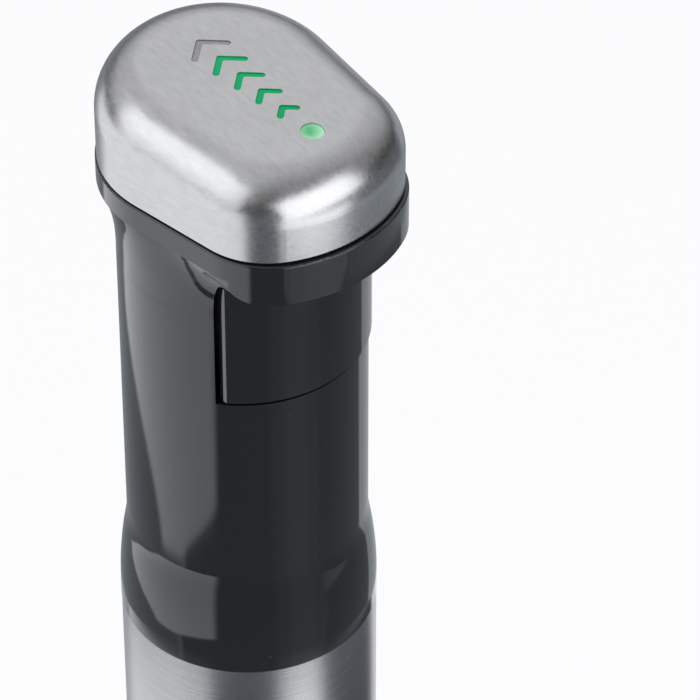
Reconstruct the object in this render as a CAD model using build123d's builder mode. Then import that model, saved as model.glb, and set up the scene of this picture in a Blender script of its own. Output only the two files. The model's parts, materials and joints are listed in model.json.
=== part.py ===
from build123d import *
import math
import os

# Hand blender: a motor handle with a thumb lever under its steel head, and a blending foot that pulls off.
# Millimetres. The stick's axis is Z, the foot's rim stands on z = 0, and the thumb side faces -Y.

# Lengths along the stick, from the foot's rim upwards
bell_height = 46.0
tube_length = 104.0
flange_height = 6.0
release_height = 20.0
sleeve_length = 64.0
grip_length = 126.9
rim_height = 6.0
gasket_height = 0.6
cap_height = 24.0

# Plan of the head: a round far end, straight sides that close in, and a flatter near end
far_radius = 29.6
far_centre = 5.6
side_angle = 6.0
corner_radius = 19.0
near_radius = 36.0
near_reach = 39.9

# Steel cap
cap_wall = 1.2
cap_fillet = 13.0
cap_tilt = 4.75

# Speed marks on the cap, placed along its sloping top
mark_count = 5
mark_far = 13.9
mark_pitch = 7.18
mark_stroke = 1.6
mark_arm_far = 6.4
mark_arm_near = 3.2
mark_angle = 49.4
mark_round = 0.6
dot_place = -25.0
dot_radius = 2.75
dot_dish = 6.0
mark_gap = 0.06
mark_recess = 0.35

# Light parts under the cap
guide_drop = 0.4
guide_thickness = 2.0
guide_margin = 2.4
led_height = 1.2
led_side = 2.4
board_thickness = 1.6
board_margin = 4.0
post_radius = 2.5
post_inset = 3.2

# Rim under the cap
rim_proud = 0.3
rim_reach = 0.9
rim_wall = 3.8
rim_edge = 0.5
skirt_drop = 4.8
skirt_half_width = 26.3
skirt_wall = 2.4
skirt_corner = 3.0
gasket_inset = 0.6
deck_thickness = 3.0

# Grip
grip_radius = 29.4
grip_wall = 2.6
grip_foot_radius = 31.6
grip_foot_band = 4.5
grip_step_height = 22.0
grip_step_blend = 25.0
flare_height = 18.0
flare_points = 32
flare_sections = (0.3, 0.55, 0.8, 1.0)
top_opening_radius = 17.0
top_wall = 4.0
deck_screw_place = 16.0

# Thumb lever
lever_width = 45.0
lever_height = 34.0
lever_top_drop = 8.0
lever_proud = 0.7
lever_wall = 2.4
lever_gap = 1.2
lever_edge = 0.6
pivot_drop = 6.0
pivot_depth = 7.4
pivot_radius = 1.5
pivot_grip = 2.2
lug_radius = 3.2
lug_width = 14.0
finger_width = 4.0
finger_reach = 10.4
switch_drop = 10.0
spring_drop = 24.0
spring_radius = 3.0
spring_wire = 0.8
spring_pad = 0.7

# Inner frame, switch and electronics
spine_width = 32.0
spine_wall = 3.0
spine_place = 2.0
frame_base = 3.0
switch_width = 14.0
switch_height = 18.0
switch_depth = 14.0
plunger_radius = 2.0
plunger_seat = 4.5
seat_width = 8.0
seat_height = 8.0
seat_reach = 16.0
control_board_height = 74.0
capacitor_height = 22.0
capacitor_width = 18.0
component_depth = 12.0
heat_sink_height = 26.0
heat_sink_width = 24.0
heat_sink_fins = 5
fin_thickness = 1.5

# Screws
screw_radius = 1.25
screw_head_radius = 2.0
screw_head_height = 1.6
screw_length = 8.0
small_screw_radius = 1.0
small_screw_head = 1.8
small_screw_length = 5.0

# Motor
shaft_radius = 3.0
bearing_radius = 8.0
bearing_height = 6.0
bearing_boss = 11.0
bracket_thickness = 3.0
motor_frame_wall = 3.4
motor_frame_height = 63.0
motor_room = 0.4
stator_low = 15.0
brush_room = 12.0
yoke_wall = 3.4
pole_angle = 80.0
air_gap = 0.6
core_radius = 14.0
core_inset = 2.0
core_slots = 12
slot_width = 2.2
slot_depth = 5.0
coil_overhang = 4.0
coil_wall = 4.0
coil_angle = 84.0
end_turn_height = 6.0
end_turn_radius = 12.5
commutator_radius = 7.5
commutator_height = 6.5
brush_width = 5.0
brush_height = 4.0
brush_length = 7.0
brush_gap = 0.3
holder_wall = 1.2
fan_radius = 21.5
fan_height = 7.0
fan_plate = 1.2
fan_hub_radius = 6.5
fan_blades = 11
fan_blade_wall = 1.2
damper_height = 6.0

# Sleeve and release collar
sleeve_radius = 31.5
sleeve_wall = 1.0
spigot_length = 12.0
release_spigot = 10.0
socket_radius = 22.0
socket_depth = 14.0
diaphragm = 4.0
release_wall = 5.4
housing_screw_count = 3
housing_screw_angle = 90.0
housing_screw_seat = 10.0
button_width = 14.0
button_height = 10.0
button_length = 5.3
button_proud = 0.8
button_edge = 0.8
button_spring_radius = 3.2
button_spring_room = 3.8

# Drive coupling
dog_flats = 10.0
dog_length = 10.0
dog_drop = 2.0
cup_radius = 9.5
cup_base = 5.0
cup_height = 14.0
cup_drop = 4.0
dog_gap = 0.3

# Blending foot
tube_radius = 14.0
tube_wall = 1.0
tube_top_band = 6.0
tube_taper = 48.0
collar_plug = 4.0
bush_height = 10.0
foot_shaft_radius = 4.0
lower_bush_height = 12.0
seal_height = 4.0
bell_radius = 35.0
bell_wall = 1.5
bell_band = 14.0
bell_windows = 4
window_width = 16.0
window_height = 7.0
window_low = 17.0
blade_length = 25.0
blade_width = 11.0
blade_thickness = 1.6
blade_tilt = 14.0
blade_place = 16.0
blade_hub_radius = 7.0
nut_flats = 11.0
nut_height = 5.0
spacer_radius = 6.5

# Clearances
fit_gap = 0.1
run_gap = 0.05
move_gap = 0.4

# Heights worked out from the lengths
foot_top = bell_height + tube_length
release_low = foot_top + flange_height
sleeve_low = release_low + release_height
grip_low = sleeve_low + sleeve_length
rim_low = grip_low + grip_length
rim_high = rim_low + rim_height
seam = rim_high + gasket_height
cap_top = seam + cap_height

# Places worked out from the sizes
bore_radius = grip_radius - grip_wall
spigot_radius = sleeve_radius - sleeve_wall - fit_gap
flare_low = rim_low - flare_height
lever_top = rim_low - lever_top_drop
lever_low = lever_top - lever_height
pivot_y = -(grip_radius - pivot_depth)
pivot_z = lever_low - pivot_drop
switch_z = lever_top - switch_drop
spring_z = lever_top - spring_drop
motor_radius = bore_radius - motor_room
frame_inner = motor_radius - motor_frame_wall
bracket_low = sleeve_low + release_spigot
motor_low = bracket_low + bracket_thickness
motor_high = motor_low + motor_frame_height
frame_low = motor_high + bracket_thickness
stator_z = motor_low + stator_low
stator_height = motor_frame_height - stator_low - brush_room
stator_inner = core_radius + air_gap
core_z = stator_z + core_inset
core_height = stator_height - 2 * core_inset
commutator_z = motor_high - commutator_height - 1.0
screw_circle = motor_radius - motor_frame_wall / 2
housing_circle = (bore_radius + spigot_radius) / 2
housing_screw_top = grip_low - spigot_length / 4
top_plane = Plane((0, 0, cap_top)).rotated((cap_tilt, 0, 0))

BASE = (Align.CENTER, Align.CENTER, Align.MIN)
os.makedirs("parts", exist_ok=True)


def save(builder, name):
    builder.part.label = name
    export_step(builder.part, f"parts/{name}.step")


def disc(radius, low, high, mode=Mode.ADD):
    """A round block about the stick's axis between two heights."""
    with Locations((0, 0, low)):
        Cylinder(radius, high - low, align=BASE, mode=mode)


def block(low, high, mode=Mode.ADD):
    """A box between two corners."""
    middle = [(a + b) / 2 for a, b in zip(low, high)]
    with Locations(Vector(*middle)):
        Box(*[b - a for a, b in zip(low, high)], mode=mode)


def rod_x(radius, start, end, y, z, mode=Mode.ADD):
    """A round rod along X."""
    with Locations(Location(((start + end) / 2, y, z), (0, 90, 0))):
        Cylinder(radius, end - start, mode=mode)


def rod_y(radius, start, end, x, z, mode=Mode.ADD):
    """A round rod along Y."""
    with Locations(Location((x, (start + end) / 2, z), (90, 0, 0))):
        Cylinder(radius, end - start, mode=mode)


def screw_down(seat, length):
    """A screw that points down, with its head standing on the seat height."""
    disc(screw_radius, seat - length, seat)
    disc(screw_head_radius, seat, seat + screw_head_height)


def head_plan(grow, reach=0.0):
    """Plan of the head, grown outward all round, with its near end pushed out by reach."""
    side = math.radians(side_angle)
    outward = Vector(math.cos(side), -math.sin(side))
    along = Vector(-math.sin(side), -math.cos(side))
    far_middle = Vector(0, far_centre)
    near_middle = Vector(0, near_radius - near_reach - reach)
    inner_line = far_middle + outward * (far_radius - corner_radius) - near_middle
    half = inner_line.dot(along)
    rest = inner_line.dot(inner_line) - (near_radius - corner_radius) ** 2
    run = math.sqrt(half**2 - rest) - half
    corner_middle = near_middle + inner_line + along * run
    toward = (corner_middle - near_middle).normalized()
    side_start = far_middle + outward * (far_radius + grow)
    side_end = corner_middle + outward * (corner_radius + grow)
    corner_end = corner_middle + toward * (corner_radius + grow)
    far_tip = Vector(0, far_centre + far_radius + grow)
    near_tip = Vector(0, -near_reach - reach - grow)
    with BuildSketch() as plan:
        with BuildLine():
            RadiusArc(far_tip, side_start, far_radius + grow)
            Line(side_start, side_end)
            RadiusArc(side_end, corner_end, corner_radius + grow)
            RadiusArc(corner_end, near_tip, near_radius + grow)
            mirror(about=Plane.YZ)
        make_face()
    return plan.sketch


def cap_form(inset):
    """Form of the cap with its sloping top and round edge, drawn in by inset."""
    with BuildPart() as form:
        with BuildSketch(Plane.XY.offset(seam)):
            add(head_plan(-inset))
        extrude(amount=2 * cap_height)
        split(bisect_by=top_plane.offset(-inset), keep=Keep.BOTTOM)
        fillet(form.faces().sort_by(Axis.Z)[-1].edges(), cap_fillet - inset)
    return form.part


def mark_arm(step):
    """Length of a speed mark's arms, the farthest mark first."""
    return mark_arm_far + (mark_arm_near - mark_arm_far) * step / (mark_count - 1)


def marks(first, last, shrink=0.0):
    """Speed marks as arrow shapes, each made of two round-ended strokes with a rounded inner corner."""
    angle = math.radians(mark_angle)
    with BuildSketch() as drawing:
        for step in range(first, last):
            tip_y = mark_far - mark_pitch * step
            for side in (-1, 1):
                arm = mark_arm(step)
                end = Vector(side * arm * math.sin(angle), tip_y - arm * math.cos(angle))
                middle = (end + Vector(0, tip_y)) * 0.5
                SlotCenterPoint(middle, end, mark_stroke - 2 * shrink)
            inner_corner = Vector(0, tip_y - (mark_stroke / 2 - shrink) / math.sin(angle))
            fillet(drawing.vertices().sort_by_distance(inner_corner)[0], mark_round + shrink)
    return drawing.sketch


# Steel cap
with BuildPart() as top_cap:
    add(cap_form(0))
    add(cap_form(cap_wall), mode=Mode.SUBTRACT)
    with BuildSketch(top_plane):
        add(marks(0, mark_count))
        with Locations((0, dot_place)):
            Circle(dot_radius)
    extrude(amount=-3 * cap_wall, mode=Mode.SUBTRACT)
save(top_cap, "top_cap")

# Lights that fill the marks, standing on the light guide
guide_top = cap_wall + guide_drop
lens_plane = top_plane.offset(-guide_top)
lens_height = guide_top - mark_recess

with BuildPart() as speed_lights:
    with BuildSketch(lens_plane):
        add(marks(1, mark_count, mark_gap))
    extrude(amount=lens_height)
save(speed_lights, "speed_lights")

with BuildPart() as top_speed_light:
    with BuildSketch(lens_plane):
        add(marks(0, 1, mark_gap))
    extrude(amount=lens_height)
save(top_speed_light, "top_speed_light")

# The ready light is dished like a shallow lens
with BuildPart() as ready_light:
    with BuildSketch(lens_plane):
        with Locations((0, dot_place)):
            Circle(dot_radius - mark_gap)
    extrude(amount=lens_height)
    dish_rise = math.sqrt(dot_dish**2 - dot_radius**2)
    with Locations(top_plane.offset(-mark_recess) * Location((0, dot_place, dish_rise))):
        Sphere(dot_dish, mode=Mode.SUBTRACT)
save(ready_light, "ready_light")

# Light guide, lamp board and the deck that carries them
guide_far = mark_far + guide_margin
guide_near = dot_place - dot_radius - guide_margin / 2
guide_half = mark_arm_far * math.sin(math.radians(mark_angle)) + guide_margin
guide_middle = (guide_far + guide_near) / 2
board_length = guide_far - guide_near + board_margin
board_width = 2 * (guide_half + board_margin)
board_top = guide_top + guide_thickness + led_height
board_bottom = board_top + board_thickness
post_places = [
    (sx * (board_width / 2 - post_inset), guide_middle + sy * (board_length / 2 - post_inset))
    for sx in (-1, 1)
    for sy in (-1, 1)
]

deck_screw_places = [
    (sx * deck_screw_place, sy * deck_screw_place, rim_low)
    for sx in (-1, 1)
    for sy in (-1, 1)
]

with BuildPart() as light_guide:
    with BuildSketch(lens_plane):
        with Locations((0, guide_middle)):
            RectangleRounded(2 * guide_half, guide_far - guide_near, guide_margin)
    extrude(amount=-guide_thickness)
save(light_guide, "light_guide")

with BuildPart() as indicator_leds:
    with BuildSketch(top_plane.offset(-board_top)):
        with Locations(*[(0, mark_far - mark_pitch * step - led_side) for step in range(mark_count)]):
            Rectangle(led_side, led_side)
        with Locations((0, dot_place)):
            Rectangle(led_side, led_side)
    extrude(amount=led_height)
save(indicator_leds, "indicator_leds")

with BuildPart() as indicator_board:
    with BuildSketch(top_plane.offset(-board_top)):
        with Locations((0, guide_middle)):
            RectangleRounded(board_width, board_length, board_margin)
        with Locations(*post_places):
            Circle(small_screw_radius + fit_gap, mode=Mode.SUBTRACT)
    extrude(amount=-board_thickness)
save(indicator_board, "indicator_board")

with BuildPart() as indicator_screws:
    with BuildSketch(top_plane.offset(-board_top)):
        with Locations(*post_places):
            Circle(small_screw_radius)
    extrude(amount=-small_screw_length)
    with BuildSketch(top_plane.offset(-board_top)):
        with Locations(*post_places):
            Circle(small_screw_head)
    extrude(amount=led_height - fit_gap)

with BuildPart() as head_deck:
    with BuildSketch(Plane.XY.offset(rim_low)):
        add(head_plan(-rim_wall - fit_gap))
        Circle(top_opening_radius, mode=Mode.SUBTRACT)
    extrude(amount=deck_thickness)
    with BuildSketch(Plane.XY.offset(rim_low)):
        with Locations(*post_places):
            Circle(post_radius)
    extrude(amount=cap_top - rim_low)
    split(bisect_by=top_plane.offset(-board_bottom), keep=Keep.BOTTOM)
    with Locations(*deck_screw_places):
        Hole(screw_radius + fit_gap)
    with BuildSketch(top_plane.offset(-board_bottom)):
        with Locations(*post_places):
            Circle(small_screw_radius)
    extrude(amount=-small_screw_length, mode=Mode.SUBTRACT)
save(head_deck, "head_deck")

with BuildPart() as deck_screws:
    with Locations(*[(x, y, 0) for x, y, z in deck_screw_places]):
        screw_down(rim_low + deck_thickness, deck_thickness + top_wall)
save(deck_screws, "deck_screws")

# Gasket and rim between the cap and the grip
with BuildPart() as cap_gasket:
    with BuildSketch(Plane.XY.offset(rim_high)):
        add(head_plan(-gasket_inset))
        add(head_plan(-rim_wall), mode=Mode.SUBTRACT)
    extrude(amount=gasket_height)
save(cap_gasket, "cap_gasket")


def skirt_form(gap):
    """Skirt of the rim with its round ends, or with a gap the pocket that takes it."""
    drop = skirt_drop + gap
    with BuildPart() as form:
        with BuildSketch(Plane.XY.offset(rim_low - drop)):
            add(head_plan(rim_proud + gap, rim_reach))
            add(head_plan(-skirt_wall - gap), mode=Mode.SUBTRACT)
        extrude(amount=drop)
        with BuildSketch(Plane.XZ) as skirt_face:
            with Locations((0, rim_low)):
                Rectangle(2 * (skirt_half_width + gap), drop, align=(Align.CENTER, Align.MAX))
            fillet(skirt_face.vertices().group_by(Axis.Y)[0], skirt_corner + gap)
        extrude(amount=2 * near_reach, mode=Mode.INTERSECT)
    return form.part


# The rim's near side hangs lower, as a skirt over the thumb lever
with BuildPart() as rim_collar:
    add(skirt_form(0))
    with BuildSketch(Plane.XY.offset(rim_low)):
        add(head_plan(rim_proud, rim_reach))
        add(head_plan(-rim_wall), mode=Mode.SUBTRACT)
    extrude(amount=rim_height)
    fillet(rim_collar.faces().sort_by(Axis.Z)[-1].outer_wire().edges(), rim_edge)
save(rim_collar, "rim_collar")


def flare_section(blend):
    """Closed curve between the round grip and the rim's plan, from 0 at the grip to 1 at the rim."""
    outline = head_plan(0).wire()
    with BuildSketch() as section:
        with BuildLine():
            points = [outline.position_at(step / flare_points) for step in range(flare_points)]
            round_points = [point.normalized() * grip_radius for point in points]
            Spline(*[a + (b - a) * blend for a, b in zip(round_points, points)], periodic=True)
        make_face()
    return section.sketch


# Grip: a round moulding that flares into the rim's plan and steps out to the sleeve's size at its foot
with BuildPart() as grip_shell:
    with BuildSketch(Plane.XZ) as grip_profile:
        with BuildLine():
            Polyline((0, flare_low), (0, grip_low), (grip_foot_radius, grip_low))
            band = Line((grip_foot_radius, grip_low), (grip_foot_radius, grip_low + grip_foot_band))
            step_top = grip_low + grip_foot_band + grip_step_height
            TangentArc(band @ 1, (grip_radius, step_top), tangent=band % 1)
            Polyline((grip_radius, step_top), (grip_radius, flare_low), (0, flare_low))
        make_face()
        crease = Vector(grip_radius, step_top)
        fillet(grip_profile.vertices().sort_by_distance(crease)[0], grip_step_blend)
    revolve(axis=Axis.Z)
    with BuildSketch(Plane.XY.offset(flare_low)):
        Circle(grip_radius)
    for part_way in flare_sections:
        with BuildSketch(Plane.XY.offset(flare_low + flare_height * part_way)):
            add(flare_section(part_way**3))
    loft()
    disc(spigot_radius, grip_low - spigot_length, grip_low)
    disc(bore_radius, grip_low - spigot_length, rim_low - top_wall, Mode.SUBTRACT)
    disc(top_opening_radius, rim_low - top_wall, rim_low, Mode.SUBTRACT)
    add(skirt_form(fit_gap), mode=Mode.SUBTRACT)
    opening_half = lever_width / 2 + lever_gap
    block(
        (-opening_half, -2 * grip_radius, lever_low - lever_gap),
        (opening_half, 0, lever_top + lever_gap),
        Mode.SUBTRACT,
    )
    pin_half = math.sqrt(bore_radius**2 - pivot_y**2) + pivot_grip
    rod_x(pivot_radius + run_gap, -pin_half - fit_gap, pin_half + fit_gap, pivot_y, pivot_z, Mode.SUBTRACT)
    with Locations(*deck_screw_places):
        Hole(screw_radius, top_wall)
    with PolarLocations(housing_circle, housing_screw_count, housing_screw_angle):
        disc(screw_radius, grip_low - spigot_length, housing_screw_top, Mode.SUBTRACT)
save(grip_shell, "grip_shell")

# Thumb lever with its pivot lug, switch finger and spring pad
lever_radius = grip_radius + lever_proud
lever_inner = lever_radius - lever_wall
finger_end = -lever_inner + finger_reach
spring_start = -lever_inner + spring_pad

with BuildPart() as thumb_lever:
    disc(lever_radius, lever_low, lever_top)
    disc(lever_inner, lever_low, lever_top, Mode.SUBTRACT)
    block((-lever_width / 2, -lever_radius, lever_low), (lever_width / 2, 0, lever_top), Mode.INTERSECT)
    outer = thumb_lever.faces().filter_by(GeomType.CYLINDER).sort_by(SortBy.AREA)[-1]
    fillet(outer.edges(), lever_edge)
    rod_x(lug_radius, -lug_width / 2, lug_width / 2, pivot_y, pivot_z)
    lug_half = lug_width / 2
    lug_back = pivot_y + lug_radius
    block((-lug_half, pivot_y - lug_radius, pivot_z), (lug_half, lug_back, lever_low + lug_radius))
    block(
        (-lug_half, -lever_inner - lever_wall / 2, lever_low + lever_edge),
        (lug_half, lug_back, lever_low + 2 * lug_radius),
    )
    finger_half = finger_width / 2
    block(
        (-finger_half, -lever_inner - finger_half / 2, switch_z - finger_half),
        (finger_half, finger_end, switch_z + finger_half),
    )
    rod_y(spring_radius + spring_wire, -lever_inner - spring_pad, spring_start, 0, spring_z)
    rod_x(pivot_radius + run_gap, -lug_width, lug_width, pivot_y, pivot_z, Mode.SUBTRACT)
save(thumb_lever, "thumb_lever")

with BuildPart() as lever_pin:
    rod_x(pivot_radius, -pin_half, pin_half, pivot_y, pivot_z)
save(lever_pin, "lever_pin")

# Return spring of the lever, drawn as its tube of turns
spine_front = spine_place
seat_end = spine_front - seat_reach

with BuildPart() as lever_spring:
    rod_y(spring_radius, spring_start, seat_end, 0, spring_z)
    rod_y(spring_radius - spring_wire, spring_start, seat_end, 0, spring_z, Mode.SUBTRACT)
save(lever_spring, "lever_spring")

# Inner frame: a base ring on the motor with a spine that carries the electronics
spine_back = spine_front + spine_wall
motor_screw_places = PolarLocations(screw_circle, 4, 45).local_locations

with BuildPart() as inner_frame:
    disc(motor_radius, frame_low, frame_low + frame_base)
    disc(bearing_boss + fit_gap, frame_low, frame_low + frame_base, Mode.SUBTRACT)
    with Locations(*[(place.position.X, place.position.Y, 0) for place in motor_screw_places]):
        disc(screw_head_radius + move_gap, frame_low, frame_low + frame_base, Mode.SUBTRACT)
    spine_top = switch_z + switch_height / 2
    spine_low = frame_low + bearing_height + frame_base
    for side in (-1, 1):
        block(
            (side * spine_width / 2 - max(side, 0) * spine_wall, spine_front, frame_low + frame_base),
            (side * spine_width / 2 - min(side, 0) * spine_wall, spine_back, spine_low),
        )
    block((-spine_width / 2, spine_front, spine_low), (spine_width / 2, spine_back, spine_top))
    block(
        (-seat_width / 2, seat_end, spring_z - seat_height / 2),
        (seat_width / 2, spine_front, spring_z + seat_height / 2),
    )
save(inner_frame, "inner_frame")

# Speed switch on the spine, with the plunger that the lever's finger pushes in
switch_front = spine_front - switch_depth
plunger_tip = finger_end + brush_gap

with BuildPart() as speed_switch:
    block(
        (-switch_width / 2, switch_front, switch_z - switch_height / 2),
        (switch_width / 2, spine_front, switch_z + switch_height / 2),
    )
    rod_y(plunger_radius + run_gap, switch_front, spine_front - spine_wall, 0, switch_z, Mode.SUBTRACT)
save(speed_switch, "speed_switch")

with BuildPart() as switch_plunger:
    rod_y(plunger_radius, plunger_tip, switch_front + plunger_seat, 0, switch_z)
save(switch_plunger, "switch_plunger")

# Control board with its parts on the back of the spine
board_low = spine_low + spine_wall
control_board_high = board_low + control_board_height
board_back = spine_back + board_thickness
board_half = spine_width / 2
control_screw_places = [
    (sx * (board_half - post_inset), board_low + post_inset if sz < 0 else control_board_high - post_inset)
    for sx in (-1, 1)
    for sz in (-1, 1)
]

with BuildPart() as control_board:
    block((-board_half, spine_back, board_low), (board_half, board_back, control_board_high))
    for x, z in control_screw_places:
        rod_y(small_screw_radius + fit_gap, spine_back, board_back, x, z, Mode.SUBTRACT)
save(control_board, "control_board")

# Screws of the control board and of the indicator board
with BuildPart() as board_screws:
    add(indicator_screws.part)
    for x, z in control_screw_places:
        rod_y(small_screw_radius, spine_back, board_back, x, z)
        rod_y(small_screw_head, board_back, board_back + screw_head_height, x, z)
save(board_screws, "board_screws")

sink_low = board_low + 2 * post_inset
with BuildPart() as heat_sink:
    sink_half = heat_sink_width / 2
    sink_top = sink_low + heat_sink_height
    block((-sink_half, board_back, sink_low), (sink_half, board_back + spine_wall, sink_top))
    fin_pitch = (heat_sink_width - fin_thickness) / (heat_sink_fins - 1)
    for fin in range(heat_sink_fins):
        fin_x = -sink_half + fin * fin_pitch
        block(
            (fin_x, board_back, sink_low),
            (fin_x + fin_thickness, board_back + component_depth, sink_top),
        )
save(heat_sink, "heat_sink")

capacitor_low = sink_low + heat_sink_height + post_inset
with BuildPart() as capacitor:
    half_width = capacitor_width / 2
    block(
        (-half_width, board_back, capacitor_low),
        (half_width, board_back + component_depth, capacitor_low + capacitor_height),
    )
    fillet(capacitor.edges().filter_by(Axis.Y), small_screw_radius)
save(capacitor, "capacitor")


def motor_bracket(plate_low, boss_low, boss_high, pocket_low, pocket_high):
    """A round end plate of the motor with a boss that holds a bearing."""
    with BuildPart() as bracket:
        disc(motor_radius, plate_low, plate_low + bracket_thickness)
        disc(bearing_boss, boss_low, boss_high)
        disc(bearing_radius + run_gap, pocket_low, pocket_high, Mode.SUBTRACT)
        disc(shaft_radius + move_gap, boss_low, boss_high, Mode.SUBTRACT)
    return bracket.part


# Motor end plates, their bearings and the frame between them
lower_boss = motor_low - bearing_height - fan_plate
upper_boss = motor_high + bearing_height + bracket_thickness

with BuildPart() as lower_bracket:
    add(motor_bracket(bracket_low, lower_boss, motor_low, motor_low - bearing_height, motor_low))
save(lower_bracket, "lower_bracket")

with BuildPart() as upper_bracket:
    add(motor_bracket(motor_high, motor_high, upper_boss, motor_high, motor_high + bearing_height))
    with PolarLocations(screw_circle, 4, 45):
        disc(screw_radius + fit_gap, motor_high, frame_low, Mode.SUBTRACT)
save(upper_bracket, "upper_bracket")


def bearing(low):
    """A plain ring bearing for the motor shaft."""
    with BuildPart() as ring:
        disc(bearing_radius, low, low + bearing_height)
        disc(shaft_radius + run_gap, low, low + bearing_height, Mode.SUBTRACT)
    return ring.part


with BuildPart() as lower_bearing:
    add(bearing(motor_low - bearing_height))
save(lower_bearing, "lower_bearing")

with BuildPart() as upper_bearing:
    add(bearing(motor_high))
save(upper_bearing, "upper_bearing")

with BuildPart() as motor_frame:
    disc(motor_radius, motor_low, motor_high)
    disc(frame_inner, motor_low, motor_high, Mode.SUBTRACT)
    with PolarLocations(screw_circle, 4, 45):
        disc(screw_radius, motor_high - screw_length, motor_high, Mode.SUBTRACT)
save(motor_frame, "motor_frame")

with BuildPart() as motor_screws:
    with PolarLocations(screw_circle, 4, 45):
        screw_down(frame_low, screw_length + bracket_thickness)
save(motor_screws, "motor_screws")

with BuildPart() as motor_damper:
    disc(bore_radius - fit_gap, grip_low - damper_height / 2, grip_low + damper_height / 2)
    disc(motor_radius, grip_low - damper_height / 2, grip_low + damper_height / 2, Mode.SUBTRACT)
save(motor_damper, "motor_damper")


def sector(inner, outer, angle, middle_angle):
    """A ring sector about the stick's axis, centred on an angle."""
    with BuildSketch() as drawing:
        with BuildLine():
            start = middle_angle - angle / 2
            outer_arc = CenterArc((0, 0), outer, start, angle)
            inner_arc = CenterArc((0, 0), inner, start, angle)
            Line(outer_arc @ 0, inner_arc @ 0)
            Line(outer_arc @ 1, inner_arc @ 1)
        make_face()
    return drawing.sketch


# Stator: a ring with two poles, and the field coils in the gaps between them
yoke_radius = frame_inner - fit_gap
yoke_inner = yoke_radius - yoke_wall
with BuildPart() as stator:
    with BuildSketch(Plane.XY.offset(stator_z)):
        Circle(yoke_radius)
        Circle(yoke_inner, mode=Mode.SUBTRACT)
        for pole in (90, 270):
            add(sector(stator_inner, yoke_inner + yoke_wall / 2, pole_angle, pole))
    extrude(amount=stator_height)
save(stator, "stator")

with BuildPart() as field_coils:
    with BuildSketch(Plane.XY.offset(stator_z - coil_overhang)):
        for gap_side in (0, 180):
            add(sector(yoke_inner - coil_wall, yoke_inner - fit_gap, coil_angle, gap_side))
    extrude(amount=stator_height + 2 * coil_overhang)
save(field_coils, "field_coils")

# Rotor
shaft_low = release_low + dog_drop
shaft_high = motor_high + bearing_height + fit_gap
with BuildPart() as motor_shaft:
    disc(shaft_radius, shaft_low, shaft_high)
save(motor_shaft, "motor_shaft")

with BuildPart() as armature_core:
    disc(core_radius, core_z, core_z + core_height)
    disc(shaft_radius, core_z, core_z + core_height, Mode.SUBTRACT)
    with PolarLocations(core_radius - slot_depth / 2, core_slots):
        with Locations((0, 0, core_z)):
            Box(slot_depth, slot_width, core_height, align=BASE, mode=Mode.SUBTRACT)
save(armature_core, "armature_core")

with BuildPart() as armature_windings:
    for low in (core_z - end_turn_height, core_z + core_height):
        disc(end_turn_radius, low, low + end_turn_height)
        disc(shaft_radius, low, low + end_turn_height, Mode.SUBTRACT)
save(armature_windings, "armature_windings")

with BuildPart() as commutator:
    disc(commutator_radius, commutator_z, commutator_z + commutator_height)
    disc(shaft_radius, commutator_z, commutator_z + commutator_height, Mode.SUBTRACT)
save(commutator, "commutator")

fan_low = motor_low + fan_plate
with BuildPart() as cooling_fan:
    disc(fan_radius, fan_low, fan_low + fan_plate)
    with PolarLocations((fan_radius + fan_hub_radius) / 2 - fan_blade_wall, fan_blades):
        with Locations((0, 0, fan_low)):
            Box(fan_radius - fan_hub_radius, fan_blade_wall, fan_height, align=BASE)
    disc(fan_hub_radius, fan_low, fan_low + fan_height)
    disc(shaft_radius, fan_low, fan_low + fan_height, Mode.SUBTRACT)
save(cooling_fan, "cooling_fan")

# Carbon brushes in their holders, with their springs behind them
brush_z = commutator_z + commutator_height / 2
brush_start = commutator_radius + brush_gap
brush_end = brush_start + brush_length


def each_side(start, end, width, height, mode=Mode.ADD):
    """A pair of boxes along X, one on each side of the stick's axis."""
    for side in (-1, 1):
        low, high = sorted((side * start, side * end))
        block((low, -width / 2, brush_z - height / 2), (high, width / 2, brush_z + height / 2), mode)


with BuildPart() as carbon_brushes:
    each_side(brush_start, brush_end, brush_width, brush_height)
save(carbon_brushes, "carbon_brushes")

with BuildPart() as brush_holders:
    holder_start = brush_start + brush_length / 3
    holder_end = frame_inner - fit_gap
    each_side(holder_start, holder_end, brush_width + 2 * holder_wall, brush_height + 2 * holder_wall)
    slot_end = frame_inner - holder_wall
    each_side(holder_start, slot_end, brush_width + 2 * fit_gap, brush_height + 2 * fit_gap, Mode.SUBTRACT)
    disc(frame_inner - fit_gap, brush_z - brush_height, brush_z + brush_height, Mode.INTERSECT)
save(brush_holders, "brush_holders")

with BuildPart() as brush_springs:
    spring_side = brush_height - holder_wall
    each_side(brush_end, frame_inner - 2 * holder_wall, spring_side, spring_side)
save(brush_springs, "brush_springs")

# Steel sleeve and the release collar under it
with BuildPart() as steel_sleeve:
    disc(sleeve_radius, sleeve_low, grip_low)
    disc(sleeve_radius - sleeve_wall, sleeve_low, grip_low, Mode.SUBTRACT)
save(steel_sleeve, "steel_sleeve")

socket_top = release_low + socket_depth
diaphragm_top = socket_top + diaphragm
button_z = release_low + release_height / 2
button_outer = sleeve_radius + button_proud
button_inner = button_outer - button_length
pocket_floor = button_inner - button_spring_room
pocket_half_width = button_width / 2 + fit_gap
pocket_half_height = button_height / 2 + fit_gap
screw_seat = release_low + housing_screw_seat

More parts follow.
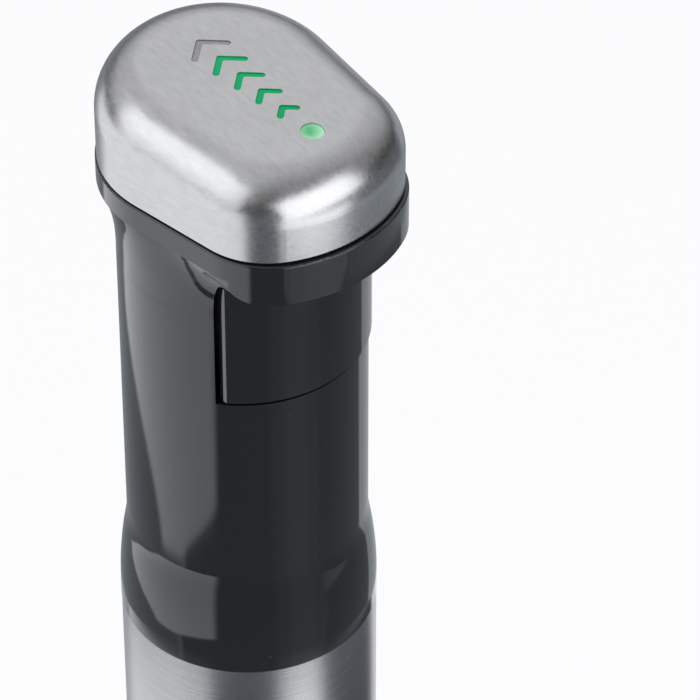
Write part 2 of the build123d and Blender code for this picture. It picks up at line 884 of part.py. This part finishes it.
with BuildPart() as release_collar:
    disc(sleeve_radius, release_low, sleeve_low)
    disc(spigot_radius, sleeve_low, bracket_low)
    disc(socket_radius, release_low, socket_top, Mode.SUBTRACT)
    disc(bearing_radius, socket_top, diaphragm_top, Mode.SUBTRACT)
    disc(spigot_radius - release_wall, diaphragm_top, bracket_low, Mode.SUBTRACT)
    for side in (-1, 1):
        low_x, high_x = sorted((side * pocket_floor, side * 2 * sleeve_radius))
        block(
            (low_x, -pocket_half_width, button_z - pocket_half_height),
            (high_x, pocket_half_width, button_z + pocket_half_height),
            Mode.SUBTRACT,
        )
    with PolarLocations(housing_circle, housing_screw_count, housing_screw_angle):
        disc(screw_radius + fit_gap, screw_seat, bracket_low, Mode.SUBTRACT)
        disc(screw_head_radius + fit_gap, release_low, screw_seat, Mode.SUBTRACT)
save(release_collar, "release_collar")

with BuildPart() as housing_screws:
    with PolarLocations(housing_circle, housing_screw_count, housing_screw_angle):
        disc(screw_radius, screw_seat, housing_screw_top)
        disc(screw_head_radius, screw_seat - screw_head_height, screw_seat)
save(housing_screws, "housing_screws")

with BuildPart() as shaft_seal:
    disc(bearing_radius, socket_top, diaphragm_top)
    disc(shaft_radius + run_gap, socket_top, diaphragm_top, Mode.SUBTRACT)
save(shaft_seal, "shaft_seal")

# Release buttons, one on each side, each on its spring
for side, name in ((-1, "left"), (1, "right")):
    with BuildPart() as release_button:
        low_x, high_x = sorted((side * button_inner, side * 2 * button_outer))
        block(
            (low_x, -button_width / 2, button_z - button_height / 2),
            (high_x, button_width / 2, button_z + button_height / 2),
        )
        fillet(release_button.edges().filter_by(Axis.X), 2 * button_edge)
        disc(button_outer, release_low, sleeve_low, Mode.INTERSECT)
        fillet(release_button.faces().sort_by(Axis.X)[-1 if side > 0 else 0].edges(), button_edge)
    save(release_button, f"release_button_{name}")

    with BuildPart() as button_spring:
        start, end = sorted((side * pocket_floor, side * button_inner))
        rod_x(button_spring_radius, start, end, 0, button_z)
        rod_x(button_spring_radius - spring_wire, start, end, 0, button_z, Mode.SUBTRACT)
    save(button_spring, f"button_spring_{name}")

# Drive dog on the motor shaft, and the cup on the foot's shaft that it turns
cup_low = release_low - cup_drop
cup_floor = cup_low + cup_base

with BuildPart() as drive_dog:
    with BuildSketch(Plane.XY.offset(shaft_low)):
        RegularPolygon(dog_flats / 2, 6, major_radius=False)
        Circle(shaft_radius, mode=Mode.SUBTRACT)
    extrude(amount=dog_length)
save(drive_dog, "drive_dog")

with BuildPart() as drive_cup:
    disc(cup_radius, cup_low, cup_low + cup_height)
    disc(foot_shaft_radius, cup_low, cup_floor, Mode.SUBTRACT)
    with BuildSketch(Plane.XY.offset(cup_floor)):
        RegularPolygon(dog_flats / 2 + dog_gap, 6, major_radius=False)
    extrude(amount=cup_height - cup_base, mode=Mode.SUBTRACT)
save(drive_cup, "drive_cup")

# Foot collar: the plastic top of the foot, which holds the upper bush, with its spigot in the socket
tube_inner = tube_radius - tube_wall
collar_floor = cup_low - move_gap

with BuildPart() as foot_collar:
    disc(sleeve_radius, foot_top, release_low)
    disc(sleeve_radius - tube_wall - fit_gap, foot_top - collar_plug, foot_top)
    disc(bearing_boss, foot_top - bush_height - tube_wall, foot_top)
    disc(cup_radius + move_gap, collar_floor, release_low, Mode.SUBTRACT)
    disc(bearing_radius, foot_top - bush_height, foot_top, Mode.SUBTRACT)
    disc(foot_shaft_radius + move_gap, foot_top - 2 * bush_height, release_low, Mode.SUBTRACT)
save(foot_collar, "foot_collar")

with BuildPart() as foot_spigot:
    disc(socket_radius - move_gap, release_low, socket_top - move_gap)
    disc(cup_radius + move_gap, release_low, socket_top, Mode.SUBTRACT)
save(foot_spigot, "foot_spigot")

# Tube of the foot: a shoulder that narrows under the collar, and a slim length down to the bell
band_low = foot_top - tube_top_band
taper_low = band_low - tube_taper


def shoulder_form(inset):
    """Form of the tube's shoulder, drawn in by inset."""
    with BuildPart() as form:
        with BuildSketch(Plane.XZ):
            with BuildLine():
                wide = sleeve_radius - inset
                slim = tube_radius - inset
                Polyline((0, taper_low), (0, foot_top), (wide, foot_top), (wide, band_low))
                Spline((wide, band_low), (slim, taper_low), tangents=((0, -1), (0, -1)))
                Line((slim, taper_low), (0, taper_low))
            make_face()
        revolve(axis=Axis.Z)
    return form.part


def bell_form(inset):
    """Form of the foot's bell, drawn in by inset."""
    with BuildPart() as form:
        with BuildSketch(Plane.XZ):
            with BuildLine():
                slim = tube_radius - inset
                wide = bell_radius - inset
                Polyline((0, 0), (0, bell_height), (slim, bell_height))
                Spline((slim, bell_height), (wide, bell_band), tangents=((0, -1), (0, -1)))
                Polyline((wide, bell_band), (wide, 0), (0, 0))
            make_face()
        revolve(axis=Axis.Z)
    return form.part


with BuildPart() as foot_shoulder:
    add(shoulder_form(0))
    add(shoulder_form(tube_wall), mode=Mode.SUBTRACT)
save(foot_shoulder, "foot_shoulder")

with BuildPart() as foot_tube:
    disc(tube_radius, bell_height, taper_low)
    disc(tube_inner, bell_height, taper_low, Mode.SUBTRACT)
save(foot_tube, "foot_tube")

with BuildPart() as bell_guard:
    add(bell_form(0))
    add(bell_form(bell_wall), mode=Mode.SUBTRACT)
    for window in range(bell_windows):
        angle = math.radians(45 + 360 / bell_windows * window)
        middle = (0, 0, window_low + window_height / 2)
        across = (-math.sin(angle), math.cos(angle), 0)
        outward = (math.cos(angle), math.sin(angle), 0)
        with BuildSketch(Plane(middle, across, outward)):
            SlotOverall(window_width, window_height)
        extrude(amount=bell_radius, mode=Mode.SUBTRACT)
save(bell_guard, "bell_guard")

bush_low = bell_height + seal_height
bush_top = bush_low + lower_bush_height

with BuildPart() as foot_bushes:
    disc(tube_inner - fit_gap, bush_low, bush_top)
    disc(bearing_radius, foot_top - bush_height, foot_top)
    disc(foot_shaft_radius + run_gap, bush_low, foot_top, Mode.SUBTRACT)
save(foot_bushes, "foot_bushes")

with BuildPart() as foot_seal:
    disc(tube_inner - fit_gap, bell_height, bush_low)
    disc(foot_shaft_radius + run_gap, bell_height, bush_low, Mode.SUBTRACT)
save(foot_seal, "foot_seal")

# Blade shaft with what turns on it
blade_top = blade_place + blade_thickness

with BuildPart() as drive_shaft:
    disc(foot_shaft_radius, blade_place - nut_height, cup_floor)
save(drive_shaft, "drive_shaft")

with BuildPart() as blade_spacer:
    disc(spacer_radius, blade_top, bell_height - move_gap)
    disc(foot_shaft_radius, blade_top, bell_height - move_gap, Mode.SUBTRACT)
save(blade_spacer, "blade_spacer")

with BuildPart() as blade:
    for turn in (0, 180):
        wing = Plane((0, 0, blade_place)).rotated((0, -blade_tilt, turn))
        with BuildSketch(wing):
            with BuildLine():
                half = blade_width / 2
                tip = (blade_length, half / 2)
                edge_start = (blade_length / 3, -half)
                edge_middle = (0.75 * blade_length, -half / 2)
                Polyline(tip, (blade_length / 2, half), (0, half), (0, -half), edge_start)
                ThreePointArc(edge_start, edge_middle, tip)
            make_face()
        extrude(amount=blade_thickness)
    disc(blade_hub_radius, blade_place, blade_top)
    disc(blade_hub_radius, 0, blade_place, Mode.SUBTRACT)
    disc(blade_hub_radius, blade_top, bell_height, Mode.SUBTRACT)
    disc(foot_shaft_radius, 0, bell_height, Mode.SUBTRACT)
save(blade, "blade")

with BuildPart() as blade_nut:
    with BuildSketch(Plane.XY.offset(blade_place - nut_height)):
        RegularPolygon(nut_flats / 2, 6, major_radius=False)
        Circle(foot_shaft_radius, mode=Mode.SUBTRACT)
    extrude(amount=nut_height)
save(blade_nut, "blade_nut")
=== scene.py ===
import json
import math
import bpy
from mathutils import Matrix, Vector


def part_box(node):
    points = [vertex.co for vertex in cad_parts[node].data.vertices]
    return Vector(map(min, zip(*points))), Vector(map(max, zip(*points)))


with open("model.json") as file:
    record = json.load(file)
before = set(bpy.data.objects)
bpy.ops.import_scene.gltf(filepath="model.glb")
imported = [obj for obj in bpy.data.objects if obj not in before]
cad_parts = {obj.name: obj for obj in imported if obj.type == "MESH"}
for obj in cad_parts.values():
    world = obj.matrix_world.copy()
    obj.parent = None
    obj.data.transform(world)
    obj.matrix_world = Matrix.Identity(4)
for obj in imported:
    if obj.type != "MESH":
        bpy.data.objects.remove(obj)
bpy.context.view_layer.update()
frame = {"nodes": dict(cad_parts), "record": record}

# Lengths are in metres and angles in degrees, unless a name says otherwise
MM = 0.001

# Camera, fitted to the photograph
FRAME_PIXELS = 700
FOCAL_PIXELS = 4599.3
SENSOR_MM = 36.0
CAMERA_PLACE = Vector((-0.53496, -0.63617, 1.02040))
CAMERA_ELEVATION = 40.305
CAMERA_AZIMUTH = -41.782
CAMERA_CLIP = (0.05, 50)


def direction(azimuth, elevation):
    """Unit vector towards an azimuth, measured as the camera's is, and an elevation."""
    a = math.radians(azimuth)
    e = math.radians(elevation)
    return Vector((math.sin(a) * math.cos(e), -math.cos(a) * math.cos(e), math.sin(e)))


# Node helpers
def set_inputs(tree, node, **inputs):
    """Set or link inputs of a node, each by its name, or by its number after an i."""
    for name, value in inputs.items():
        numbered = name[0] == "i" and name[1:].isdigit()
        socket = node.inputs[int(name[1:]) if numbered else name.replace("_", " ")]
        if isinstance(value, bpy.types.NodeSocket):
            tree.links.new(value, socket)
        else:
            socket.default_value = value


def add_node(tree, kind, settings=None, **inputs):
    """A shader node with its settings and the values or links of its inputs."""
    made = tree.nodes.new(kind)
    for name, value in (settings or {}).items():
        setattr(made, name, value)
    set_inputs(tree, made, **inputs)
    return made


def calculate(tree, operation, *values, **settings):
    """The result of a math node."""
    inputs = {f"i{number}": value for number, value in enumerate(values)}
    return add_node(tree, "ShaderNodeMath", {"operation": operation, **settings}, **inputs).outputs[0]


def measure(tree, operation, *vectors):
    """The number that a vector math node gives."""
    inputs = {f"i{number}": vector for number, vector in enumerate(vectors)}
    made = add_node(tree, "ShaderNodeVectorMath", {"operation": operation}, **inputs)
    return made.outputs["Value"]


def mix(tree, share, first, second):
    """A number between two numbers by a share."""
    made = add_node(tree, "ShaderNodeMix", {"data_type": "FLOAT"}, i0=share, i2=first, i3=second)
    return made.outputs[0]


def remap(tree, value, start, end, low, high, kind="LINEAR"):
    """The value moved from the range start to end into the range low to high, and held there."""
    made = add_node(
        tree, "ShaderNodeMapRange", {"interpolation_type": kind},
        Value=value, From_Min=start, From_Max=end, To_Min=low, To_Max=high,
    )
    return made.outputs[0]


def spread(tree, value, low, high):
    """A value from 0 to 1 moved into another range."""
    return remap(tree, value, 0.0, 1.0, low, high)


def smooth_step(tree, value, start, end, low=0.0, high=1.0):
    """A smooth change from low to high as the value goes from start to end."""
    return remap(tree, value, start, end, low, high, "SMOOTHSTEP")


def within(tree, value, limits, soft):
    """1 between two limits and 0 outside them, with soft edges."""
    rising = smooth_step(tree, value, limits[0] - soft, limits[0] + soft)
    falling = smooth_step(tree, value, limits[1] - soft, limits[1] + soft, 1.0, 0.0)
    return calculate(tree, "MULTIPLY", rising, falling)


def object_place(tree):
    return add_node(tree, "ShaderNodeTexCoord").outputs["Object"]


def stretched_noise(tree, scale, detail=2.0):
    """Noise over object coordinates, with its own scale along each axis, in lengths per metre."""
    mapping = add_node(tree, "ShaderNodeMapping", Vector=object_place(tree), Scale=scale)
    noise = add_node(tree, "ShaderNodeTexNoise", Vector=mapping.outputs[0], Scale=1.0, Detail=detail)
    return noise.outputs["Fac"]


def tint(tree, value, dark, light, start=0.3, end=0.7):
    """A colour between two colours by a value."""
    ramp = add_node(tree, "ShaderNodeValToRGB", Fac=value)
    first, second = ramp.color_ramp.elements
    first.position = start
    first.color = (*dark, 1)
    second.position = end
    second.color = (*light, 1)
    return ramp.outputs[0]


def shade(colour, factor):
    """The colour made darker or lighter."""
    return tuple(min(c * factor, 1) for c in colour)


def bump(tree, height, strength, depth):
    made = add_node(tree, "ShaderNodeBump", Height=height, Strength=strength, Distance=depth)
    return made.outputs[0]


# Materials
LINE_DEPTH = 0.04 * MM
GRAIN_DEPTH = 0.05 * MM
WAVE_DEPTH = 0.2 * MM

CLOUD_SCALE = (45, 45, 45)
CLOUD_SHARE = 0.35
CLOUDED_SHARE = 0.74
STREAK_DETAIL = 3.0

GLOSS_TINT = (0.79, 0.91, 1.0, 1)
WAVE_SCALE = (55, 55, 22)
WIPING_SCALE = (60, 60, 2600)
DUST_SCALE = 260.0
DUST_EDGE = (0.05, 0.09)
DUST_RARITY = 0.78
DUST_PALENESS = 0.05

RING_SCALE = 40
LENS_HAZE_SCALE = (700, 700, 700)
LENS_HAZE_SHARE = 0.25
GUIDE_HAZE_SCALE = (500, 500, 500)


def new_material(name):
    """A node material with its tree and its shader."""
    made = bpy.data.materials.new(name)
    made.use_nodes = True
    tree = made.node_tree
    tree.nodes.clear()
    shader = add_node(tree, "ShaderNodeBsdfPrincipled")
    add_node(tree, "ShaderNodeOutputMaterial", Surface=shader.outputs[0])
    return made, tree, shader


def brushed_steel(name, colour, streaks, roughness, grain, anisotropy=0.0):
    """Brushed stainless steel: fine streaks that vary its colour, roughness and relief."""
    made, tree, shader = new_material(name)
    fine = stretched_noise(tree, streaks, STREAK_DETAIL)
    cloud = stretched_noise(tree, CLOUD_SCALE)
    clouded = calculate(tree, "MULTIPLY_ADD", cloud, CLOUD_SHARE, fine)
    value = calculate(tree, "MULTIPLY", clouded, CLOUDED_SHARE)
    set_inputs(
        tree, shader,
        Base_Color=tint(tree, value, shade(colour, 0.90), shade(colour, 1.06)),
        Metallic=1.0,
        Roughness=spread(tree, value, roughness - 0.05, roughness + 0.07),
        Anisotropic=anisotropy,
        Normal=bump(tree, fine, grain, LINE_DEPTH),
    )
    if anisotropy:
        tangent = add_node(tree, "ShaderNodeTangent", {"direction_type": "RADIAL", "axis": "Z"})
        set_inputs(tree, shader, Tangent=tangent.outputs[0])
    return made


def gloss_black(name, colour):
    """High gloss black moulding with a faint waviness, fine wiping marks and a few specks of dust."""
    made, tree, shader = new_material(name)
    wave = stretched_noise(tree, WAVE_SCALE, 1.0)
    wiping = stretched_noise(tree, WIPING_SCALE)
    cells = add_node(tree, "ShaderNodeTexVoronoi", Vector=object_place(tree), Scale=DUST_SCALE)
    speck = remap(tree, cells.outputs["Distance"], *DUST_EDGE, 1.0, 0.0)
    chosen = calculate(tree, "GREATER_THAN", cells.outputs["Color"], DUST_RARITY)
    dust = calculate(tree, "MULTIPLY", speck, chosen)
    dusty = tuple(c + DUST_PALENESS for c in colour)
    set_inputs(
        tree, shader,
        Base_Color=tint(tree, dust, colour, dusty, 0.0, 1.0),
        Roughness=spread(tree, wiping, 0.045, 0.10),
        Specular_Tint=GLOSS_TINT,
        Coat_Weight=0.7,
        Coat_Roughness=0.03,
        Normal=bump(tree, wave, 0.25, WAVE_DEPTH),
    )
    return made


def moulded(name, colour, roughness, grain_scale=900.0):
    """Plain moulded plastic or rubber with a fine grain."""
    made, tree, shader = new_material(name)
    grain = stretched_noise(tree, (grain_scale,) * 3)
    set_inputs(
        tree, shader,
        Base_Color=tint(tree, grain, shade(colour, 0.85), shade(colour, 1.1)),
        Roughness=spread(tree, grain, roughness - 0.08, roughness + 0.08),
        Normal=bump(tree, grain, 0.3, GRAIN_DEPTH),
    )
    return made


def machined(name, colour, roughness, lines=1500.0):
    """Turned or drawn metal with fine rings along Z."""
    made, tree, shader = new_material(name)
    rings = stretched_noise(tree, (RING_SCALE, RING_SCALE, lines))
    set_inputs(
        tree, shader,
        Base_Color=tint(tree, rings, shade(colour, 0.85), colour),
        Metallic=1.0,
        Roughness=spread(tree, rings, roughness - 0.06, roughness + 0.08),
        Normal=bump(tree, rings, 0.3, LINE_DEPTH),
    )
    return made


def lit_lens(name, deep, pale, centre, reach, glow):
    """A lit lens: its colour runs from deep at a centre to pale at a distance (painted dish shade on the
    ready light), and it glows.
    """
    made, tree, shader = new_material(name)
    away = measure(tree, "DISTANCE", object_place(tree), centre)
    share = calculate(tree, "DIVIDE", away, reach, use_clamp=True)
    haze = stretched_noise(tree, LENS_HAZE_SCALE)
    hazy = calculate(tree, "MULTIPLY_ADD", haze, LENS_HAZE_SHARE, share)
    colour = tint(tree, hazy, deep, pale, 0.1, 1.0)
    set_inputs(
        tree, shader,
        Base_Color=colour,
        Roughness=0.3,
        Specular_IOR_Level=0.15,
        Emission_Color=colour,
        Emission_Strength=glow,
        Normal=bump(tree, haze, 0.1, GRAIN_DEPTH),
    )
    return made


def clear_guide(name, colour):
    """Clear acrylic with a faint haze."""
    made, tree, shader = new_material(name)
    haze = stretched_noise(tree, GUIDE_HAZE_SCALE)
    set_inputs(
        tree, shader,
        Base_Color=(*colour, 1),
        Roughness=spread(tree, haze, 0.1, 0.25),
        Transmission_Weight=0.7,
    )
    return made


# Middle of the ready light, and the point just off it where painted shade makes the green in its dish deepest
low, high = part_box("ready_light")
ready_centre = Vector([(a + b) / 2 for a, b in zip(low, high)])
painted_dish_shade_centre = ready_centre + Vector((0.1, 1.1, 0)) * MM

STEEL = (0.645, 0.65, 0.665)
MATERIALS = {
    "cap_steel": (brushed_steel, dict(
        colour=STEEL, streaks=(900, 260, 900), roughness=0.27, grain=0.2)),
    "sleeve_steel": (brushed_steel, dict(
        colour=STEEL, streaks=(45, 45, 5200), roughness=0.24, grain=0.35, anisotropy=0.55)),
    "foot_steel": (brushed_steel, dict(
        colour=STEEL, streaks=(45, 45, 4200), roughness=0.20, grain=0.3, anisotropy=0.5)),
    "gloss_black": (gloss_black, dict(colour=(0.010, 0.0105, 0.0115))),
    "soft_black": (moulded, dict(colour=(0.012, 0.012, 0.012), roughness=0.7)),
    "green_light": (lit_lens, dict(
        deep=(0.001, 0.25, 0.076), pale=(0.002, 0.30, 0.112), centre=ready_centre, reach=40 * MM, glow=0.42)),
    # The ready light's green is painted shade of its dish: deepest at a centre off the middle, pale towards
    # its edge
    "ready_green": (lit_lens, dict(
        deep=(0.045, 0.36, 0.13), pale=(0.36, 0.70, 0.46), centre=painted_dish_shade_centre, reach=3.6 * MM, glow=0.2)),
    "grey_lens": (moulded, dict(colour=(0.30, 0.30, 0.32), roughness=0.35, grain_scale=500.0)),
    "clear_guide": (clear_guide, dict(colour=(0.85, 0.92, 0.88))),
    "board_green": (moulded, dict(colour=(0.02, 0.12, 0.05), roughness=0.4, grain_scale=300.0)),
    "led_white": (moulded, dict(colour=(0.85, 0.85, 0.78), roughness=0.35)),
    "inner_plastic": (moulded, dict(colour=(0.16, 0.165, 0.17), roughness=0.55)),
    "screw_steel": (machined, dict(colour=(0.55, 0.55, 0.56), roughness=0.35)),
    "core_steel": (machined, dict(colour=(0.38, 0.39, 0.41), roughness=0.45, lines=2500.0)),
    "copper": (machined, dict(colour=(0.72, 0.33, 0.14), roughness=0.35, lines=1800.0)),
    "carbon": (moulded, dict(colour=(0.03, 0.03, 0.03), roughness=0.6)),
    "bearing_steel": (machined, dict(colour=(0.65, 0.65, 0.67), roughness=0.22)),
    "bronze": (machined, dict(colour=(0.55, 0.38, 0.17), roughness=0.4)),
    "sink_aluminium": (machined, dict(colour=(0.75, 0.76, 0.77), roughness=0.35)),
    "part_blue": (moulded, dict(colour=(0.04, 0.10, 0.28), roughness=0.4)),
    "blade_steel": (machined, dict(colour=(0.72, 0.72, 0.74), roughness=0.16, lines=2600.0)),
}
materials = {name: maker(name, **values) for name, (maker, values) in MATERIALS.items()}
slot_of = {entry["node"]: entry["material_slot"] for entry in frame["record"]["subparts"]}
for node_name, item in frame["nodes"].items():
    for holder in item.material_slots:
        holder.material = materials[slot_of[node_name]]


# Floor: white to the camera, with the object's shadow. It has zones of painted reflection, each with its own
# level, where 1 is white, that only show in the object's gloss and paint chosen highlights and dark bands on
# the steel and the black plastic. Each has its angles from the camera's azimuth, its distances from the axis
# and its level.
FLOOR_SIZE = 8.0
FLOOR_COLOUR = (0.92, 0.92, 0.92, 1)
FLOOR_GLOW = 0.92
OUTER = (0.27, 9.0)
INNER = (-0.1, 0.273)
PAINTED_REFLECTION_ZONES = {
    "left": ((-200, -60), OUTER, 0.27),
    "front": ((-60, 132), OUTER, 0.15),
    "streak_wide": ((24, 70), OUTER, 0.21),
    "streak": ((36, 58), OUTER, 0.26),
    "right_edge": ((132, 200), OUTER, 0.45),
    "cap_right": ((68, 170), (0.474, 0.75), 0.33),
    "sleeve_ring": ((-200, 200), INNER, 0.93),
    "sleeve_left": ((-200, -132), INNER, 0.5),
    "sleeve_front": ((-34, 26), INNER, 0.08),
    "sleeve_streak": ((34, 62), INNER, 1.4),
    "sleeve_right": ((68, 140), INNER, 0.1),
}
ZONE_SOFT_DEGREES = 4.0
ZONE_SOFT_METRES = 0.004
ZONE_TINT_DARK = (0.88, 0.98, 1.06)
ZONE_TINT_LIGHT = (0.985, 0.985, 1.0)
ZONE_TINT_LEVELS = (0.1, 0.9)
# A painted bright reflection on the left, which narrows towards the object: its level, the distance where it
# starts, and for each side two distances and the angles of the side there
GLOW_LEVEL = 1.07
GLOW_START = 0.317
GLOW_LEFT = ((0.312, 0.43), (-84, -134))
GLOW_RIGHT = ((0.312, 0.352), (-64, -27))


def painted_reflection_level(tree):
    """Level of the painted reflections on the floor in gloss, by the angle from the camera's azimuth and the
    distance from the axis.
    """
    place = add_node(tree, "ShaderNodeNewGeometry").outputs["Position"]
    forward = measure(tree, "DOT_PRODUCT", place, direction(CAMERA_AZIMUTH, 0))
    sideways = measure(tree, "DOT_PRODUCT", place, direction(CAMERA_AZIMUTH + 90, 0))
    degrees = calculate(tree, "DEGREES", calculate(tree, "ARCTAN2", sideways, forward))
    distance = measure(tree, "LENGTH", place)
    level = 1.0
    for angles, distances, zone in PAINTED_REFLECTION_ZONES.values():
        in_angle = within(tree, degrees, angles, ZONE_SOFT_DEGREES)
        in_distance = within(tree, distance, distances, ZONE_SOFT_METRES)
        level = mix(tree, calculate(tree, "MULTIPLY", in_angle, in_distance), level, zone)

    left_side = smooth_step(tree, distance, *GLOW_LEFT[0], *GLOW_LEFT[1])
    right_side = smooth_step(tree, distance, *GLOW_RIGHT[0], *GLOW_RIGHT[1])
    inside_left = calculate(tree, "SUBTRACT", degrees, left_side)
    inside_right = calculate(tree, "SUBTRACT", right_side, degrees)
    past_left = smooth_step(tree, inside_left, -ZONE_SOFT_DEGREES, ZONE_SOFT_DEGREES)
    past_right = smooth_step(tree, inside_right, -ZONE_SOFT_DEGREES, ZONE_SOFT_DEGREES)
    started = smooth_step(tree, distance, GLOW_START - ZONE_SOFT_METRES, GLOW_START + ZONE_SOFT_METRES)
    between = calculate(tree, "MULTIPLY", past_left, past_right)
    return mix(tree, calculate(tree, "MULTIPLY", started, between), level, GLOW_LEVEL)


def floor_material():
    made = bpy.data.materials.new("floor")
    made.use_nodes = True
    tree = made.node_tree
    tree.nodes.clear()
    path = add_node(tree, "ShaderNodeLightPath")
    camera_ray = path.outputs["Is Camera Ray"]
    glossy_ray = path.outputs["Is Glossy Ray"]
    mirrored = calculate(tree, "MAXIMUM", glossy_ray, path.outputs["Is Transmission Ray"])
    shown = calculate(tree, "MAXIMUM", camera_ray, mirrored)
    matt = add_node(tree, "ShaderNodeBsdfDiffuse", Color=FLOOR_COLOUR)
    # In gloss the floor shows the painted reflection levels; to other rays it is plain
    level = mix(tree, glossy_ray, 1.0, painted_reflection_level(tree))
    cool = tint(tree, level, ZONE_TINT_DARK, ZONE_TINT_LIGHT, *ZONE_TINT_LEVELS)
    glow = add_node(tree, "ShaderNodeEmission", Color=cool, Strength=level)
    share = calculate(tree, "MULTIPLY", shown, spread(tree, camera_ray, 1.0, FLOOR_GLOW))
    mixed = add_node(tree, "ShaderNodeMixShader", i0=share, i1=matt.outputs[0], i2=glow.outputs[0])
    add_node(tree, "ShaderNodeOutputMaterial", Surface=mixed.outputs[0])
    return made


def make_floor():
    half = FLOOR_SIZE / 2
    mesh = bpy.data.meshes.new("floor")
    corners = [(-half, -half, 0), (half, -half, 0), (half, half, 0), (-half, half, 0)]
    mesh.from_pydata(corners, [], [(0, 1, 2, 3)])
    mesh.materials.append(floor_material())
    floor = bpy.data.objects.new("floor", mesh)
    bpy.context.scene.collection.objects.link(floor)


make_floor()

# World: soft light, brightest behind the object and on the left, and dim towards the horizon. The
# facings are cosines of the angle to the bright side, and the heights are those of a unit vector.
WORLD_BRIGHT = 0.60
WORLD_DARK = 0.10
WORLD_FACINGS = (-0.45, 0.55)
BRIGHT_AZIMUTH = 215
BRIGHT_ELEVATION = 35
HORIZON_SHARE = 0.2
HORIZON_HEIGHTS = (-0.05, 0.40)


def make_world():
    world = bpy.data.worlds.new("studio")
    bpy.context.scene.world = world
    world.use_nodes = True
    tree = world.node_tree
    tree.nodes.clear()
    towards = add_node(tree, "ShaderNodeTexCoord").outputs["Generated"]
    bright_side = direction(CAMERA_AZIMUTH + BRIGHT_AZIMUTH, BRIGHT_ELEVATION)
    facing = measure(tree, "DOT_PRODUCT", towards, bright_side)
    level = smooth_step(tree, facing, *WORLD_FACINGS, WORLD_DARK, WORLD_BRIGHT)
    height = add_node(tree, "ShaderNodeSeparateXYZ", Vector=towards).outputs["Z"]
    horizon = smooth_step(tree, height, *HORIZON_HEIGHTS, HORIZON_SHARE, 1.0)
    studio = calculate(tree, "MULTIPLY", level, horizon)
    camera_ray = add_node(tree, "ShaderNodeLightPath").outputs["Is Camera Ray"]
    strength = calculate(tree, "MAXIMUM", studio, camera_ray)
    back = add_node(tree, "ShaderNodeBackground", Color=(1, 1, 1, 1), Strength=strength)
    add_node(tree, "ShaderNodeOutputWorld", Surface=back.outputs[0])


make_world()

# Soft lamps round the object. The two cards stand near it, so that only the cap and the rim show them.
HEAD = Vector((0, 0, 0.37))
BELOW_CAP = Vector((0, 0, 0.278))
BELOW_RIM = Vector((0, 0, 0.214))
WATTS_PER_LEVEL = 4


def soft_lamp(name, azimuth, elevation, distance, size, level, target=HEAD, tilt=0, in_gloss=True):
    """A soft rectangle at an angle from the camera's azimuth, as bright as its level, turned by its tilt."""
    data = bpy.data.lights.new(name, "AREA")
    data.shape = "RECTANGLE"
    data.size, data.size_y = size
    data.energy = level * WATTS_PER_LEVEL * size[0] * size[1]
    lamp = bpy.data.objects.new(name, data)
    away = direction(CAMERA_AZIMUTH + azimuth, elevation)
    facing = away.to_track_quat("Z", "Y").to_matrix().to_4x4()
    tilted = facing @ Matrix.Rotation(math.radians(tilt), 4, "Z")
    lamp.matrix_world = Matrix.Translation(target + away * distance) @ tilted
    lamp.visible_camera = False
    lamp.visible_glossy = in_gloss
    bpy.context.scene.collection.objects.link(lamp)


soft_lamp("back_softbox", azimuth=180, elevation=52, distance=1.6, size=(1.4, 1.4), level=0.12)
soft_lamp("left_softbox", azimuth=-66, elevation=24, distance=1.3, size=(1.7, 1.35), level=0.66)
soft_lamp("front_softbox", azimuth=46, elevation=11, distance=0.9, size=(1.06, 0.67), level=1.29, tilt=16)
soft_lamp("cap_card", azimuth=41, elevation=0, distance=0.22, size=(0.20, 0.10), level=0.97, target=BELOW_CAP)
soft_lamp("rim_card", azimuth=41, elevation=0, distance=0.22, size=(0.20, 0.028), level=0.2, target=BELOW_RIM)
soft_lamp("top_fill", azimuth=0, elevation=90, distance=2.0, size=(2.4, 2.4), level=0.8, in_gloss=False)


def make_camera():
    data = bpy.data.cameras.new("camera")
    data.sensor_width = SENSOR_MM
    data.lens = FOCAL_PIXELS / FRAME_PIXELS * SENSOR_MM
    data.clip_start, data.clip_end = CAMERA_CLIP
    camera = bpy.data.objects.new("camera", data)
    back = direction(CAMERA_AZIMUTH, CAMERA_ELEVATION)
    right = Vector((0, 0, 1)).cross(back).normalized()
    up = back.cross(right)
    turn = Matrix((right, up, back)).transposed().to_4x4()
    camera.matrix_world = Matrix.Translation(CAMERA_PLACE) @ turn
    bpy.context.scene.collection.objects.link(camera)
    bpy.context.scene.camera = camera


make_camera()
bpy.context.scene.view_settings.view_transform = "Standard"
